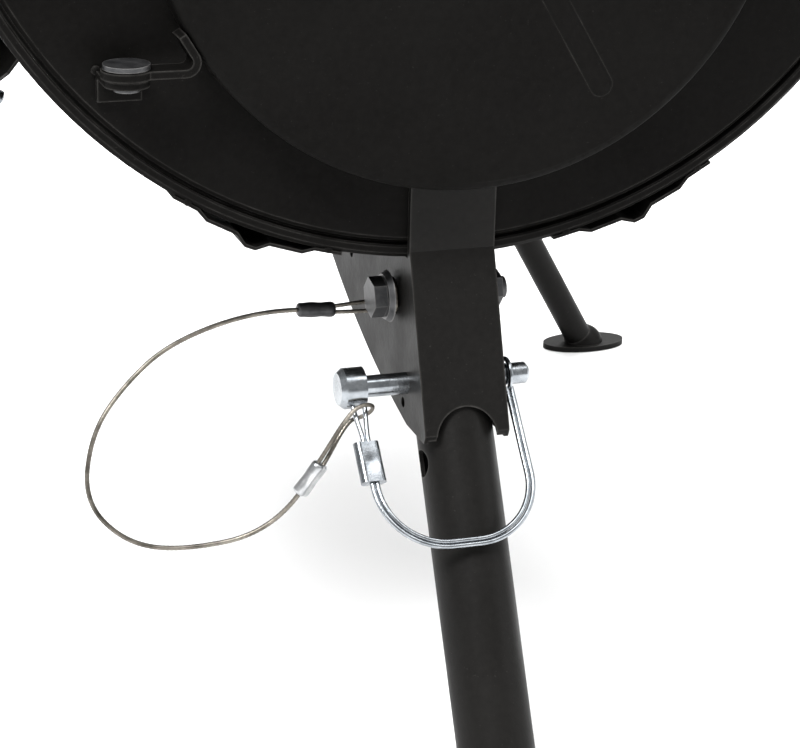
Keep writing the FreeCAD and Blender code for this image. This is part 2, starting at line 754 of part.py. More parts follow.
def make_pivot_bolt(name):
    """Flanged hexagon bolt through both cheeks, with its lock nut."""
    radius = size("pivot_radius")
    flange_inner = -HALF_WIDTH - (2.6 if name == "front" else 0)

    def hexagon(start, width, thickness):
        reach = width / math.sqrt(3)
        corners = []
        for number in range(7):
            turn = math.radians(60 * number + 12)
            corners.append(Vector(start, reach * math.cos(turn), reach * math.sin(turn)))
        return Part.Face(Part.makePolygon(corners)).extrude(Vector(thickness, 0, 0))

    tail = HALF_WIDTH + 10
    shank = Part.makeCylinder(radius, tail - flange_inner, Vector(flange_inner, 0, 0), X_AXIS)
    flange = Part.makeCone(9.6, 8.2, 2, Vector(flange_inner, 0, 0), -X_AXIS)
    head = hexagon(flange_inner - 7, 13, 5.2)
    nut_flange = Part.makeCone(8.8, 7.2, 2, Vector(HALF_WIDTH, 0, 0), X_AXIS)
    nut = hexagon(HALF_WIDTH + 1.8, 12, 6)
    bolt = shank.fuse([flange, head]).removeSplitter()
    nut_body = nut_flange.fuse(nut).removeSplitter().cut(shank)
    pair = Part.Compound([handed(bolt, name), handed(nut_body, name)])
    shaped(f"pivot_bolt_{name}", pair, DRUM * unit_place(name))


def leg_axis(name):
    """The leg's direction from its foot to its pivot, in the drum frame."""
    return unit_place(name).Rotation.multVec(tilted(Z_AXIS, leg_tilt(name)))


def leg_length(name):
    """From the pivot to the floor, along the leg."""
    pivot = unit_place(name).Base
    return (pivot.z + size("axis_height")) / leg_axis(name).z


def make_leg(name):
    """Tube on the pivot, thinner stem below it and a flat oval foot."""
    place = DRUM * unit_place(name) * Placement(Vector(), Rotation(X_AXIS, -leg_tilt(name)))
    tube_cell = "Dims.front_tube" if name == "front" else "Dims.rear_tube"
    tube_length = size("front_tube") if name == "front" else size("rear_tube")
    body = doc.addObject("PartDesign::Body", f"leg_tube_{name}_stock")
    sketch = ring_sketch(body, f"tube_{name}_rings",
                         ["Dims.tube_radius", "Dims.tube_radius - Dims.tube_wall"])
    pad(body, f"tube_{name}_pad", sketch, f"{tube_cell} + Dims.tube_top", True)
    body.Placement = Placement(Vector(0, 0, size("tube_top")), Rotation())
    # the pivot hole, the slot that leaves the lock pin as the leg folds, and the side hole
    bore = Part.makeCylinder(size("pivot_radius") + size("run_fit"), 60, Vector(-30, 0, 0), X_AXIS)
    gap = size("lock_radius") + size("hole_fit")
    seat = Part.makeCylinder(gap, 60, Vector(-30, 0, -size("pin_distance")), X_AXIS)
    wide = Part.makeCylinder(size("pin_distance") + gap, 60, Vector(-30, 0, 0), X_AXIS)
    narrow = Part.makeCylinder(size("pin_distance") - gap, 60, Vector(-30, 0, 0), X_AXIS)
    sweep = 38
    edge = Rotation(X_AXIS, -sweep).multVec(Vector(0, 0, -70))
    corners = [Vector(-30, 0, 0), Vector(-30, 0, -70), Vector(-30, edge.y, edge.z)]
    wedge = Part.Face(Part.makePolygon(corners + corners[:1])).extrude(Vector(60, 0, 0))
    slot = wide.cut(narrow).common(wedge)
    side_hole = Part.makeCylinder(5, 60, Vector(-30, 0, -62), X_AXIS)
    openings = doc.addObject("Part::Feature", f"tube_{name}_openings")
    openings.Shape = joined([bore, seat, slot, side_hole])
    finish(cut(f"tube_{name}_cut", body, openings), f"leg_tube_{name}", place)
    # stem: a plug in the tube, a shoulder under it and a thin rod to the foot
    stem_radius = size("stem_radius")
    inside = size("tube_radius") - size("tube_wall")
    full = leg_length(name)
    end = full - (size("foot_thick") + 3) / leg_axis(name).z
    profile = [(0, 16), (inside, 16), (inside, 0), (inside + 1.5, 0), (inside + 1.5, -3),
               (stem_radius, -11), (stem_radius, tube_length - end), (0, tube_length - end)]
    ring = [Vector(r, 0, -tube_length + z) for r, z in profile]
    stem = Part.Face(Part.makePolygon(ring + ring[:1])).revolve(Vector(), Z_AXIS, 360)
    shaped(f"leg_stem_{name}", stem, place)
    make_foot(name)


def make_foot(name):
    """Oval pad with a low domed socket for the stem."""
    foot = size("foot_thick")
    oval = Part.Ellipse(Vector(), size("foot_length") / 2, size("foot_width") / 2).toShape()
    plate = Part.Face(Part.Wire([oval])).extrude(Vector(0, 0, foot))
    dome = Part.makeSphere(11, Vector(0, 0, foot - 2))
    above = block((-30, -30, foot - 1), (30, 30, 40))
    # the stem's axis runs through the pad's middle
    lean = leg_axis(name)
    ground = unit_place(name).Base - lean * leg_length(name)
    shape = plate.fuse(dome.common(above)).removeSplitter()
    start = lean * ((foot + 3) / lean.z)
    shape = shape.cut(Part.makeCylinder(size("stem_radius"), 60, start, lean))
    shaped(f"leg_foot_{name}", shape, DRUM * Placement(ground, Rotation()))


# ---------------------------------------------------------------- lock pins and bails
def pin_place(name):
    """Frame on the lock pin's axis with -Z along the hanging bail."""
    lock = tilted(Vector(0, 0, -size("pin_distance")), leg_tilt(name))
    turn = Rotation(X_AXIS, -(leg_tilt(name) + size("bail_angle")))
    return DRUM * unit_place(name) * Placement(lock, turn)


BAIL_LEFT = -35.5
BAIL_RIGHT = 22.4
BAIL_DROP = 63
BAIL_CORNER = 24


def make_lock_pin(name):
    """Round pin with a heavy head, its spring-wire bail and the bail's crimped sleeve."""
    place = pin_place(name)
    head_low = -42
    head_high = -32.6
    tip = 30.5
    radius = size("lock_radius")
    shaft = Part.makeCylinder(radius, tip - head_high - 1, Vector(head_high, 0, 0), X_AXIS)
    nose = Part.makeCone(radius, radius - 1, 1, Vector(tip - 1, 0, 0), X_AXIS)
    head = Part.makeCylinder(7.5, head_high - head_low - 2, Vector(head_low + 2, 0, 0), X_AXIS)
    cap = Part.makeCone(5.8, 7.5, 2, Vector(head_low, 0, 0), X_AXIS)
    pin = shaft.fuse([nose, head, cap]).removeSplitter()
    offset = size("wire_radius") + 0.05
    strands = []
    for side in (1, -1):
        left = BAIL_LEFT - side * offset
        right = BAIL_RIGHT + side * offset
        low = -BAIL_DROP - side * offset
        bend = BAIL_CORNER + side * offset
        root = Vector(left - side * 1.6, 0, -5)
        path = [root, Vector(left, 0, -19), Vector(left, 0, low + bend),
                Vector(left + bend, 0, low), Vector(right - bend, 0, low),
                Vector(right, 0, low + bend), Vector(right, 0, -5.4)]
        corner = math.sin(math.radians(45))
        left_mid = Vector(left + bend * (1 - corner), 0, low + bend * (1 - corner))
        right_mid = Vector(right - bend * (1 - corner), 0, low + bend * (1 - corner))
        joggle, _ = rounded_path([path[0], path[1], path[2]], limit=20)
        edges = list(joggle.OrderedEdges)
        edges.append(Part.Arc(path[2], left_mid, path[3]).toShape())
        edges.append(Part.LineSegment(path[3], path[4]).toShape())
        edges.append(Part.Arc(path[4], right_mid, path[5]).toShape())
        edges.append(Part.LineSegment(path[5], path[6]).toShape())
        strands.append(wire_rod(Part.Wire(edges), size("wire_radius")))
    ring = Part.makeTorus(radius + 1.6, size("wire_radius"), Vector(BAIL_RIGHT, 0, 0), X_AXIS)
    wires = strands[0].fuse([strands[1], ring])
    wires = wires.cut(pin)
    shaped(f"lock_pin_{name}", handed(pin, name), place)
    shaped(f"bail_wire_{name}", handed(wires.removeSplitter(), name), place)
    sleeve = block((BAIL_LEFT - 4.4, -2.1, -37.2), (BAIL_LEFT + 4.4, 2.1, -21.8))
    long_edges = [edge for edge in sleeve.Edges if abs(edge.tangentAt(0).z) > 0.9]
    sleeve = sleeve.makeFillet(1.6, long_edges).cut(wires)
    shaped(f"crimp_sleeve_{name}", handed(sleeve, name), place)


for leg_name in ("front", "rear_left", "rear_right"):
    make_bracket(leg_name)
    make_pivot_bolt(leg_name)
    make_leg(leg_name)
    make_lock_pin(leg_name)


# ---------------------------------------------------------------- lanyard of the front pin
def make_lanyard():
    """Wire rope from the front pivot bolt to the front pin's bail, with an eye at each end."""
    rope = size("cable_radius")
    loop = 0.8
    bolt = unit_place("front").Base
    bolt_ferrule = (Vector(-35.5, 24, -212.3), Vector(-49.7, 23.5, -211.3))
    bolt_heading = (bolt_ferrule[1] - bolt_ferrule[0]).normalize()
    shaft = rod(bolt_ferrule[0], bolt_ferrule[1], 2.9)
    shaped("lanyard_ferrule_bolt", shaft)
    plane = -HALF_WIDTH - 1.3
    away = bolt_ferrule[0] - bolt
    away.x = 0
    away = away.normalize()
    across = X_AXIS.cross(away)

    def beside_bolt(x, along, apart):
        point = bolt + away * along + across * apart
        return Vector(x, point.y, point.z)

    half = [(-35.5, 13, 1.1), (-26, 12.6, 1.6), (plane, 12, 1.8), (plane, 3.5, 5.7), (plane, -5.7, 5.7)]
    eye = [beside_bolt(*point) for point in half]
    eye += [beside_bolt(x, along, -apart) for x, along, apart in reversed(half)]
    path, _ = rounded_path(eye, limit=2.4)
    shaped("lanyard_eye_bolt", wire_rod(path, loop))
    pin_ferrule = (Vector(-50.9, -13.5, -256.9), Vector(-58.7, -12.5, -268))
    heading = (pin_ferrule[1] - pin_ferrule[0]).normalize()
    barrel = rod(pin_ferrule[0], pin_ferrule[1], 3.6)
    shaped("lanyard_ferrule_pin", barrel)
    side = heading.cross(Y_AXIS).normalize()
    eye = [pin_ferrule[0] - side * 1.1,
           Vector(-39.5, -11.9, -239.0),
           Vector(-30.9, -10.7, -237.7),
           Vector(-30.9, -6.3, -242.0),
           Vector(-38.5, -7.0, -243.4),
           pin_ferrule[0] + side * 1.1]
    path, _ = rounded_path(eye, limit=2.6)
    shaped("lanyard_eye_pin", wire_rod(path, loop))
    route = [bolt_ferrule[1],
             bolt_ferrule[1] + bolt_heading * 16,
             Vector(-99, 16, -217),
             Vector(-118, 11, -231),
             Vector(-130, 6, -246),
             Vector(-134, 0, -268),
             Vector(-121, -5, -283),
             Vector(-102, -9, -287),
             pin_ferrule[1] + heading * 18,
             pin_ferrule[1] + heading * size("hole_fit")]
    path, radii = rounded_path(route)
    cable = wire_rod(path, rope)
    print("lanyard arc radii:", [round(radius, 1) for radius in radii])
    print("lanyard length:", round(path.Length, 1))
    section = math.pi * rope ** 2 * path.Length
    print("lanyard volume against section times length:", round(cable.Volume / section, 4))
    shaped("lanyard_cable", cable)


make_lanyard()

# ---------------------------------------------------------------- checks and export
doc.recompute()
for thing in doc.Objects:
    if "Invalid" in thing.State or "Error" in thing.State:
        raise RuntimeError(f"{thing.Label} failed to build")

os.makedirs("parts", exist_ok=True)
low = Vector(1e9, 1e9, 1e9)
high = -low
for thing in FINISHED:
    shape = thing.Shape
    if shape.isNull() or not shape.isValid():
        raise RuntimeError(f"{thing.Label} has no valid shape")
    bounds = shape.BoundBox
    low = Vector(min(low.x, bounds.XMin), min(low.y, bounds.YMin), min(low.z, bounds.ZMin))
    high = Vector(max(high.x, bounds.XMax), max(high.y, bounds.YMax), max(high.z, bounds.ZMax))
    shape.exportStep(f"parts/{thing.Label}.step")
print("sub-parts:", len(FINISHED))
print("extent:", [round(v, 1) for v in low], [round(v, 1) for v in high])
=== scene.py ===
import json
import math
import random

import bpy
from mathutils import Matrix, Vector, noise


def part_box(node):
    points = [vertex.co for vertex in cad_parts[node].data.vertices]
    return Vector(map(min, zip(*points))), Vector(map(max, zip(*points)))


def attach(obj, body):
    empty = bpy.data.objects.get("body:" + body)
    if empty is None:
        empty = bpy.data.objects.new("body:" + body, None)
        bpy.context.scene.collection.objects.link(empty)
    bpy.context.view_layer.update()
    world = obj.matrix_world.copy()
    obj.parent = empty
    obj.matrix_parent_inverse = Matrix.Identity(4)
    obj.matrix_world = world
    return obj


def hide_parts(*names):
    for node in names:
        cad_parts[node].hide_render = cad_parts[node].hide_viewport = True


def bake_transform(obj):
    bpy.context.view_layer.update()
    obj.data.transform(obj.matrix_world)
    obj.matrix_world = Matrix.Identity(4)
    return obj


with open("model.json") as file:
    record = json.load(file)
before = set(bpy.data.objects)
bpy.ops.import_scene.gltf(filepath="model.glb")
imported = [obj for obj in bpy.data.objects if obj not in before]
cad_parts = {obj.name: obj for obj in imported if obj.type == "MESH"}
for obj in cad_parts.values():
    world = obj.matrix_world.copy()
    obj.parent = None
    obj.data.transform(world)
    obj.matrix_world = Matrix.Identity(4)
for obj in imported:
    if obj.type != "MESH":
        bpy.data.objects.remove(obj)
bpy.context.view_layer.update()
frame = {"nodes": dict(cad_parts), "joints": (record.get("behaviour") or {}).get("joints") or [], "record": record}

MM = 0.001
NODES = frame["nodes"]
SLOTS = {part["node"]: part["material_slot"] for part in frame["record"]["subparts"]}

# The drum's own frame: the axis of the drum at the face of the front end plate.
AXIS_HEIGHT = 0.385
DRUM = Vector((0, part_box("front_end_plate")[0].y, AXIS_HEIGHT))


def drum(x, y, z):
    """A point given in the drum's frame, in millimetres."""
    return DRUM + Vector((x, y, z)) * MM


# ------------------------------------------------------------------ materials
class Graph:
    """A material and the nodes behind its shader."""

    def __init__(self, name):
        self.material = bpy.data.materials.new(name)
        self.material.use_nodes = True
        self.tree = self.material.node_tree
        self.shader = self.tree.nodes["Principled BSDF"]
        self.place = self.node("ShaderNodeTexCoord").outputs["Object"]

    def node(self, kind, **sockets):
        made = self.tree.nodes.new(kind)
        for name, value in sockets.items():
            self.feed(made.inputs[name.replace("_", " ")], value)
        return made

    def feed(self, socket, value):
        if isinstance(value, bpy.types.NodeSocket):
            self.tree.links.new(value, socket)
        else:
            socket.default_value = value

    def noise(self, scale, detail=3.0, roughness=0.5, vector=None, distortion=0.0):
        made = self.node("ShaderNodeTexNoise", Scale=scale, Detail=detail,
                         Roughness=roughness, Distortion=distortion)
        self.feed(made.inputs["Vector"], vector or self.place)
        return made.outputs["Fac"]

    def stretched(self, factors):
        made = self.node("ShaderNodeMapping", Scale=factors)
        self.feed(made.inputs["Vector"], self.place)
        return made.outputs["Vector"]

    def ramp(self, value, stops):
        made = self.node("ShaderNodeValToRGB", Fac=value)
        band = made.color_ramp
        while len(band.elements) < len(stops):
            band.elements.new(0.5)
        for element, (at, colour) in zip(band.elements, stops):
            element.position = at
            element.color = (*colour, 1)
        return made.outputs["Color"]

    def spread(self, value, low, high):
        made = self.node("ShaderNodeMapRange", Value=value)
        made.inputs["From Min"].default_value = 0.3
        made.inputs["From Max"].default_value = 0.7
        made.inputs["To Min"].default_value = low
        made.inputs["To Max"].default_value = high
        return made.outputs["Result"]

    def mix(self, share, first, second):
        made = self.tree.nodes.new("ShaderNodeMix")
        made.data_type = "RGBA"
        self.feed(made.inputs["Factor"], share)
        self.feed(made.inputs["A"], first)
        self.feed(made.inputs["B"], second)
        return made.outputs["Result"]

    def bump(self, height, strength, distance, below=None):
        made = self.node("ShaderNodeBump", Height=height, Strength=strength, Distance=distance)
        if below:
            self.feed(made.inputs["Normal"], below)
        return made.outputs["Normal"]

    def edges(self, radius):
        """About 1 along sharp edges and 0 on open faces."""
        soft = self.node("ShaderNodeBevel", Radius=radius)
        soft.samples = 6
        true = self.node("ShaderNodeNewGeometry").outputs["Normal"]
        dot = self.tree.nodes.new("ShaderNodeVectorMath")
        dot.operation = "DOT_PRODUCT"
        self.feed(dot.inputs[0], soft.outputs["Normal"])
        self.feed(dot.inputs[1], true)
        made = self.node("ShaderNodeMapRange", Value=dot.outputs["Value"])
        made.inputs["From Min"].default_value = 0.995
        made.inputs["From Max"].default_value = 0.86
        return made.outputs["Result"]

    def set(self, **sockets):
        for name, value in sockets.items():
            self.feed(self.shader.inputs[name.replace("_", " ")], value)
        return self.material


def powder_coat(name, dark, light, gloss, smooth, rough):
    """Stoved black coating: fine orange peel, faint cloudiness, edges painted paler as a sheen mixed with wear, a
    few specks.
    """
    g = Graph(name)
    cloud = g.noise(14, 5, 0.6)
    grain = g.noise(420, 4, 0.65)
    paler = tuple(min(1.0, c * 2.2) for c in light)
    base = g.ramp(cloud, [(0.3, dark), (0.7, light)])
    base = g.mix(g.spread(grain, 0.0, 0.22), base, (*paler, 1))
    specks = g.ramp(g.noise(1100, 2, 0.5), [(0.70, (0, 0, 0)), (0.78, (1, 1, 1))])
    base = g.mix(specks, base, (*(c * 1.5 for c in paler), 1))
    # Painted highlight: sharp edges are lightened towards pale grey, as a sheen would light them, broken up by
    # noise like wear.
    edge_wear_and_sheen = g.node("ShaderNodeMath", Value=g.edges(0.0012))
    edge_wear_and_sheen.operation = "MULTIPLY"
    g.feed(edge_wear_and_sheen.inputs[1], g.spread(g.noise(90, 4, 0.7), 0.10, 0.85))
    base = g.mix(edge_wear_and_sheen.outputs["Value"], base, (0.05, 0.048, 0.045, 1))
    peel = g.bump(grain, 0.35, 0.00025)
    peel = g.bump(g.noise(90, 2, 0.5), 0.15, 0.0006, peel)
    return g.set(Base_Color=base, Roughness=g.spread(g.noise(38, 4, 0.6), smooth, rough),
                 Normal=peel, Specular_IOR_Level=gloss)


def plated(name, dark, light, smooth, rough, scratch_scale=(1, 1, 1)):
    """Plated or bare steel: spangle, dulling and fine drawn lines."""
    g = Graph(name)
    cloud = g.noise(160, 5, 0.62)
    base = g.ramp(cloud, [(0.3, dark), (0.62, light)])
    tarnish = g.ramp(g.noise(55, 6, 0.7), [(0.52, (0, 0, 0)), (0.8, (1, 1, 1))])
    dull = g.mix(tarnish, base, tuple(c * 0.62 for c in dark) + (1,))
    lines = g.noise(260, 4, 0.7, g.stretched(scratch_scale))
    relief = g.bump(lines, 0.22, 0.0002)
    relief = g.bump(g.noise(900, 2, 0.5), 0.12, 0.0001, relief)
    return g.set(Base_Color=dull, Metallic=1.0, Normal=relief,
                 Roughness=g.spread(g.noise(120, 5, 0.6), smooth, rough))


def dark_steel():
    """Black oxide fasteners, rubbed grey along their edges."""
    g = Graph("dark_steel")
    cloud = g.noise(220, 4, 0.6)
    base = g.ramp(cloud, [(0.3, (0.035, 0.036, 0.038)), (0.7, (0.075, 0.075, 0.077))])
    edge_wear_and_sheen = g.node("ShaderNodeMath", Value=g.edges(0.0007))
    edge_wear_and_sheen.operation = "MULTIPLY"
    g.feed(edge_wear_and_sheen.inputs[1], g.spread(g.noise(180, 4, 0.7), 0.2, 1.0))
    base = g.mix(edge_wear_and_sheen.outputs["Value"], base, (0.22, 0.215, 0.21, 1))
    return g.set(Base_Color=base, Metallic=0.85, Roughness=g.spread(cloud, 0.38, 0.55),
                 Normal=g.bump(g.noise(700, 3, 0.6), 0.25, 0.00015))


def wood():
    """Oiled hardwood with long grain, pores and a few darker rings."""
    g = Graph("wood_grip")
    along = g.stretched((1, 0.08, 1))
    ring_place = g.node("ShaderNodeMapping", Scale=(1, 0.15, 1))
    g.feed(ring_place.inputs["Vector"], g.place)
    rings = g.node("ShaderNodeTexWave", Scale=55.0, Distortion=5.0, Detail=3.0)
    rings.inputs["Detail Scale"].default_value = 1.4
    g.feed(rings.inputs["Vector"], ring_place.outputs["Vector"])
    base = g.ramp(rings.outputs["Fac"], [(0.15, (0.15, 0.065, 0.028)), (0.55, (0.27, 0.125, 0.055)),
                                         (0.95, (0.36, 0.18, 0.085))])
    fibre = g.noise(700, 5, 0.7, along)
    pores = g.ramp(fibre, [(0.34, (1, 1, 1)), (0.46, (0, 0, 0))])
    base = g.mix(pores, base, (0.07, 0.03, 0.014, 1))
    return g.set(Base_Color=base, Roughness=g.spread(fibre, 0.38, 0.55),
                 Normal=g.bump(fibre, 0.3, 0.0003), Coat_Weight=0.15, Coat_Roughness=0.3)


MATERIALS = {
    "black_coat": powder_coat("black_coat", (0.0030, 0.0028, 0.0026), (0.0046, 0.0044, 0.0041),
                              0.022, 0.46, 0.60),
    # leg_coat is the black coat with a paler base colour, a lit copy that paints extra light onto the legs; its
    # higher gloss and lower roughness are the finish.
    "leg_coat": powder_coat("leg_coat", (0.0046, 0.0044, 0.0041), (0.0068, 0.0065, 0.0060),
                            0.075, 0.38, 0.52),
    "dark_steel": dark_steel(),
    "zinc_plate": plated("zinc_plate", (0.17, 0.185, 0.20), (0.33, 0.35, 0.37), 0.16, 0.32,
                         (3, 3, 0.4)),
    "aluminium_sleeve": plated("aluminium_sleeve", (0.30, 0.31, 0.32), (0.50, 0.505, 0.51),
                               0.24, 0.42),
    "wire_rope": plated("wire_rope", (0.06, 0.055, 0.047), (0.24, 0.22, 0.19), 0.28, 0.5),
    "grate_steel": plated("grate_steel", (0.30, 0.30, 0.31), (0.60, 0.60, 0.61), 0.26, 0.44,
                          (0.2, 3, 3)),
    "wood_grip": wood(),
}


def paint(thing, slot):
    """Give a piece or a CAD node the finish of one of the record's slots."""
    if thing.material_slots:
        for held in thing.material_slots:
            held.material = MATERIALS[slot]
    else:
        thing.data.materials.append(MATERIALS[slot])


for node_name, node in NODES.items():
    paint(node, SLOTS[node_name])


# ------------------------------------------------------------------ mesh helpers
def mesh_piece(name, points, faces, slot, smooth=True):
    mesh = bpy.data.meshes.new(name)
    mesh.from_pydata([tuple(point) for point in points], [], faces)
    mesh.validate()
    mesh.update()
    if smooth:
        mesh.polygons.foreach_set("use_smooth", [True] * len(mesh.polygons))
    piece = bpy.data.objects.new(name, mesh)
    bpy.context.scene.collection.objects.link(piece)
    paint(piece, slot)
    return piece


def spline_points(controls, step):
    """Evenly spaced points on a smooth curve led by its control points."""
    curve = bpy.data.curves.new("guide", "CURVE")
    curve.dimensions = "3D"
    curve.resolution_u = 32
    spline = curve.splines.new("NURBS")
    spline.points.add(len(controls) - 1)
    for point, control in zip(spline.points, controls):
        point.co = (*control, 1)
    spline.order_u = 3
    spline.use_endpoint_u = True
    guide = bpy.data.objects.new("guide", curve)
    bpy.context.scene.collection.objects.link(guide)
    bpy.context.view_layer.update()
    traced = bpy.data.meshes.new_from_object(guide)
    raw = [vertex.co.copy() for vertex in traced.vertices]
    bpy.data.meshes.remove(traced)
    bpy.data.objects.remove(guide)
    bpy.data.curves.remove(curve)
    lengths = [0.0]
    for first, second in zip(raw, raw[1:]):
        lengths.append(lengths[-1] + (second - first).length)
    count = max(4, round(lengths[-1] / step))
    even = []
    at = 0
    for number in range(count + 1):
        wanted = lengths[-1] * number / count
        while at < len(raw) - 2 and lengths[at + 1] < wanted:
            at += 1
        span = lengths[at + 1] - lengths[at]
        share = (wanted - lengths[at]) / span if span else 0
        even.append(raw[at].lerp(raw[at + 1], share))
    return even, lengths[-1]


def swept(name, line, outline, slot, sides=24, across=None, smooth=True):
    """A closed tube along a line; outline(turn, distance) is its radius there."""
    tangents = []
    for number in range(len(line)):
        before = line[max(0, number - 1)]
        after = line[min(len(line) - 1, number + 1)]
        tangents.append((after - before).normalized())
    across = across or tangents[0].orthogonal().normalized()
    points = []
    distance = 0
    for number, (centre, tangent) in enumerate(zip(line, tangents)):
        across = (across - tangent * across.dot(tangent)).normalized()
        other = tangent.cross(across)
        if number:
            distance += (centre - line[number - 1]).length
        for side in range(sides):
            turn = 2 * math.pi * side / sides
            reach = outline(turn, distance)
            points.append(centre + (across * math.cos(turn) + other * math.sin(turn)) * reach)
    faces = []
    for ring in range(len(line) - 1):
        for side in range(sides):
            following = (side + 1) % sides
            faces.append((ring * sides + side, ring * sides + following,
                          (ring + 1) * sides + following, (ring + 1) * sides + side))
    faces.append(tuple(reversed(range(sides))))
    faces.append(tuple((len(line) - 1) * sides + side for side in range(sides)))
    return mesh_piece(name, points, faces, slot, smooth)


def strands(radius, number, lay, depth):
    """The outline of a rope of round strands laid up with that lay length."""

    def outline(turn, distance):
        phase = number / 2 * (turn - 2 * math.pi * distance / lay)
        return radius * (1 - depth * (1 - abs(math.cos(phase))))

    return outline


# ------------------------------------------------------------------ lanyard
ROPE_RADIUS = 0.9 * MM
LOOP_RADIUS = 0.8 * MM
ROPE_LAY = 9 * MM
STRANDS = 6
GROOVE = 0.2

BOLT_FERRULE = (drum(-35.5, 24, -212.3), drum(-49.7, 23.5, -211.3))
PIN_FERRULE = (drum(-50.9, -13.5, -256.9), drum(-58.7, -12.5, -268))
BOLT_HEADING = (BOLT_FERRULE[1] - BOLT_FERRULE[0]).normalized()
PIN_HEADING = (PIN_FERRULE[1] - PIN_FERRULE[0]).normalized()
ROPE_ROUTE = [
    BOLT_FERRULE[1],
    BOLT_FERRULE[1] + BOLT_HEADING * 16 * MM,
    drum(-99, 16, -217),
    drum(-118, 11, -231),
    drum(-130, 6, -246),
    drum(-134, 0, -268),
    drum(-121, -5, -283),
    drum(-102, -9, -287),
    PIN_FERRULE[1] + PIN_HEADING * 18 * MM,
    PIN_FERRULE[1] + PIN_HEADING * 0.3 * MM,
]

rope_line, rope_length = spline_points(ROPE_ROUTE, 0.45 * MM)
rope = swept("lanyard_rope", rope_line, strands(ROPE_RADIUS, STRANDS, ROPE_LAY, GROOVE),
             "wire_rope")
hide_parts("lanyard_cable")
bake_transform(rope)


def loop(name, controls, body, stands_for):
    line, _ = spline_points(controls, 0.4 * MM)
    piece = swept(name, line, strands(LOOP_RADIUS, STRANDS, ROPE_LAY, GROOVE), "wire_rope")
    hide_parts(stands_for)
    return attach(piece, body)


BOLT = drum(0, 13, -205)
BOLT_PLANE = -17.3
AWAY = BOLT_FERRULE[0] - BOLT
AWAY.x = 0
AWAY.normalize()
ACROSS = Vector((1, 0, 0)).cross(AWAY)


def beside_bolt(x, along, apart):
    """A point at x, measured from the bolt's axis towards and across the ferrule."""
    return BOLT + Vector((x * MM, 0, 0)) + (AWAY * along + ACROSS * apart) * MM


HALF_LOOP = [(-37.5, 12.9, 1.1), (-35.5, 13, 1.1), (-26, 12.7, 1.7), (BOLT_PLANE, 11.9, 1.9),
             (BOLT_PLANE, 9.6, 2.6), (BOLT_PLANE, 5.4, 5.3), (BOLT_PLANE, 0.5, 6.6),
             (BOLT_PLANE, -5.8, 5.2)]
loop_route = [beside_bolt(*point) for point in HALF_LOOP]
loop_route += [beside_bolt(x, along, -apart) for x, along, apart in reversed(HALF_LOOP)]
bolt_loop = loop("lanyard_loop_bolt", loop_route, "drum", "lanyard_eye_bolt")

PIN_SIDE = PIN_HEADING.cross(Vector((0, 1, 0))).normalized()
pin_loop = loop("lanyard_loop_pin", [
    PIN_FERRULE[0] - PIN_SIDE * 1.1 * MM + PIN_HEADING * 2 * MM,
    PIN_FERRULE[0] - PIN_SIDE * 1.1 * MM,
    drum(-39.8, -11.9, -238.6),
    drum(-34.2, -11.4, -236.6),
    drum(-30.6, -10.2, -238.0),
    drum(-30.6, -6.6, -241.8),
    drum(-34.8, -6.5, -243.6),
    drum(-39.5, -7.4, -244.0),
    PIN_FERRULE[0] + PIN_SIDE * 1.1 * MM,
    PIN_FERRULE[0] + PIN_SIDE * 1.1 * MM + PIN_HEADING * 2 * MM,
], "pin_front", "lanyard_eye_pin")


def straight(start, end, step=0.4 * MM):
    count = max(2, round((end - start).length / step))
    return [start.lerp(end, number / count) for number in range(count + 1)]


def rounded_end(distance, length, reach):
    """How much of the full radius a soft-ended sleeve has at a distance along it."""
    end_share = 0.72
    inset = min(distance, length - distance)
    if inset >= reach:
        return 1.0
    share = max(0.0, inset) / reach
    return end_share + (1 - end_share) * math.sqrt(1 - (1 - share) ** 2)


def bolt_sleeve():
    """A plain dark ferrule, lightly rippled by the press."""
    radius = 2.8 * MM
    soft_end = 1.6 * MM
    length = (BOLT_FERRULE[1] - BOLT_FERRULE[0]).length

    def outline(turn, distance):
        ripple = 0.04 * math.sin(distance / length * 4 * math.pi) + 0.05 * math.cos(2 * turn)
        return radius * (0.95 + ripple) * rounded_end(distance, length, soft_end)

    piece = swept("lanyard_sleeve_bolt", straight(*BOLT_FERRULE), outline, "dark_steel", 32)
    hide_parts("lanyard_ferrule_bolt")
    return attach(piece, "drum")


def pin_sleeve():
    """Two barrels pressed together, with a crease down the middle."""
    half_waist = 2.35 * MM
    bulge = 1.45 * MM
    soft_end = 1.5 * MM
    length = (PIN_FERRULE[1] - PIN_FERRULE[0]).length

    def outline(turn, distance):
        lobes = abs(math.cos(turn))
        waist = half_waist + bulge * lobes ** 1.4
        press = 1 - 0.06 * math.exp(-((distance / length - 0.5) / 0.16) ** 2)
        return waist * press * rounded_end(distance, length, soft_end)

    piece = swept("lanyard_sleeve_pin", straight(*PIN_FERRULE), outline, "aluminium_sleeve", 48)
    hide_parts("lanyard_ferrule_pin")
    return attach(piece, "pin_front")


bolt_piece = bolt_sleeve()
pin_piece = pin_sleeve()


